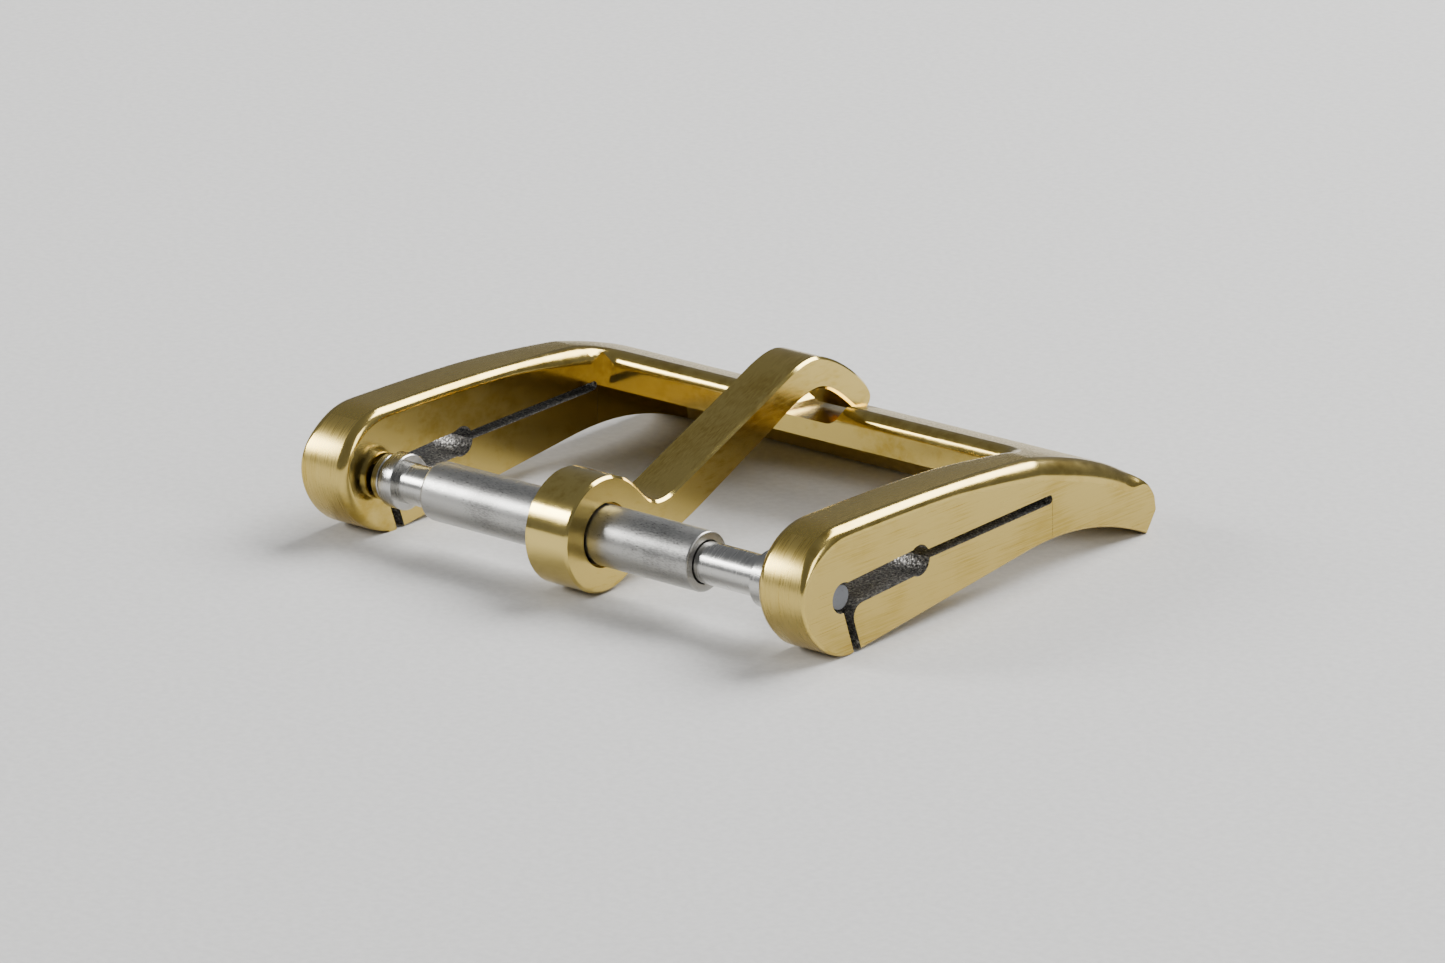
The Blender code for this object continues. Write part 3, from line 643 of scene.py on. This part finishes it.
# -------------------------------------------------------------------- Plungers
# Each plunger is turned stainless steel: a thin tip for the arm's slot, a collar and a
# wider flange near the arm, a shaft, and a head that the tube's rolled mouth holds back.

TIP_R = 0.38
SHAFT_R = 0.62

# Turned stainless: rings from the lathe.
steel_turned = metal("steel_turned", "#C2C1BD", "#A3A29F", (0.16, 0.30), (26, 2, 2), 0.5)
# The tips' end faces: cropped and blasted, so dull and dark.
steel_cropped = metal("steel_cropped", "#7C7E82", "#5E6064", (0.50, 0.65), (9, 14, 14), 6.0)

for name, side in (("plunger_left", -1), ("plunger_right", 1)):
    low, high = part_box(name)
    tip = max(abs(low.x), abs(high.x)) / MM
    collar = HALF_GAP - 0.10
    groove = collar - 0.25
    flange = groove - 0.15
    shaft = flange - 0.50
    inner = min(abs(low.x), abs(high.x)) / MM
    head = inner + 0.50
    ease = 0.03
    profile = [(tip, 0), (tip, TIP_R - 0.05), (tip - 0.015, TIP_R - 0.015), (tip - 0.05, TIP_R), (collar, TIP_R),
               (collar, 0.72 - ease), (collar - ease, 0.72), (groove + ease, 0.72), (groove, 0.72 - ease),
               (groove, 0.50), (flange, 0.50), (flange, 0.85 - ease), (flange - ease, 0.85),
               (shaft + ease, 0.85), (shaft, 0.85 - ease), (shaft, SHAFT_R), (head, SHAFT_R),
               (head, 0.68), (inner, 0.68), (inner, 0)]
    plunger = turned("steel_" + name, [(side * x, r) for x, r in profile], 96, steel_turned)
    plunger.data.materials.append(steel_cropped)
    for face in plunger.data.polygons:
        if abs(face.center.x) > (tip - 0.02) * MM and abs(face.normal.x) > 0.9:
            face.material_index = 1
    polish(plunger, 40)
    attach(plunger, name)
    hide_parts(name)

# ---------------------------------------------------------------------- Spring
# A coil of drawn spring wire pushes the plungers apart. It stays hidden inside the tube.

# Drawn wire: dull, with faint lines.
spring_wire = metal("spring_wire", "#8C8C8E", "#6C6C70", (0.28, 0.40), (6, 20, 20), 0.8)
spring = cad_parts["bar_spring"]
spring.material_slots[0].material = spring_wire

# ----------------------------------------------------------------------- Floor
# A plain pale sheet of matt paper under the buckle.

floor_mesh = bpy.data.meshes.new("floor")
bm = bmesh.new()
bmesh.ops.create_grid(bm, x_segments=1, y_segments=1, size=1.5)
bm.to_mesh(floor_mesh)
bm.free()
floor = bpy.data.objects.new("floor", floor_mesh)
bpy.context.scene.collection.objects.link(floor)
# Matt paper with a very slight tooth.
paper = bpy.data.materials.new("pale_paper")
paper.use_nodes = True
tree = paper.node_tree
where = add(tree, "ShaderNodeTexCoord").outputs["Object"]
tooth = add(tree, "ShaderNodeTexNoise", {"Vector": where, "Scale": 4 / MM, "Detail": 4.0})
relief = add(tree, "ShaderNodeBump", {"Height": tooth.outputs["Fac"], "Strength": 0.4,
                                      "Distance": 0.02 * MM})
paper_shader = tree.nodes["Principled BSDF"]
tree.links.new(ramp(tree, tooth.outputs["Fac"], [(0.3, "#C9C8C6"), (0.7, "#D3D2D0")]),
               paper_shader.inputs["Base Color"])
tree.links.new(relief.outputs[0], paper_shader.inputs["Normal"])
paper_shader.inputs["Roughness"].default_value = 0.85
floor.data.materials.append(paper)

# ---------------------------------------------------------------------- Lights
# One wide softbox overhead and behind, a weaker one from the left, and a dim grey room.

world = bpy.data.worlds.new("room")
bpy.context.scene.world = world
world.use_nodes = True
world.node_tree.nodes["Background"].inputs["Color"].default_value = linear("#9C9EA2")
world.node_tree.nodes["Background"].inputs["Strength"].default_value = 0.60


def softbox(name, spot, aim, width, depth, power, colour="#FFFFFF"):
    data = bpy.data.lights.new(name, "AREA")
    data.shape = "RECTANGLE"
    data.size = width
    data.size_y = depth
    data.energy = power
    data.color = linear(colour)[:3]
    lamp = bpy.data.objects.new(name, data)
    lamp.location = spot
    lamp.rotation_mode = "QUATERNION"
    lamp.rotation_quaternion = (Vector(aim) - Vector(spot)).to_track_quat("-Z", "Y")
    bpy.context.scene.collection.objects.link(lamp)


softbox("overhead_box", (0.06, 0.22, 0.24), (0, 0, 0), 0.28, 0.20, 2.4)
softbox("left_box", (-0.27, -0.20, 0.16), (0, 0, 0), 0.12, 0.12, 1.1)
softbox("right_box", (0.30, 0.02, 0.12), (0, 0, 0), 0.10, 0.18, 0.35)

# ---------------------------------------------------------------------- Camera
# A long macro lens from the front right, a little above the buckle.

camera_data = bpy.data.cameras.new("camera")
camera_data.lens = 190.9
camera_data.sensor_width = 36.0
camera_data.clip_start = 0.01
camera_data.clip_end = 10.0
camera = bpy.data.objects.new("camera", camera_data)
bpy.context.scene.collection.objects.link(camera)
azimuth, elevation, roll = radians(41.32), radians(18.30), radians(-0.99)
back = Vector((sin(azimuth) * cos(elevation), -cos(azimuth) * cos(elevation), sin(elevation)))
aim = place(2.742, 2.962, 1.251)
camera.rotation_mode = "QUATERNION"
turn = (-back).to_track_quat("-Z", "Y") @ Matrix.Rotation(roll, 3, "Z").to_quaternion()
camera.rotation_quaternion = turn
camera.location = aim + back * 0.22241
bpy.context.scene.camera = camera
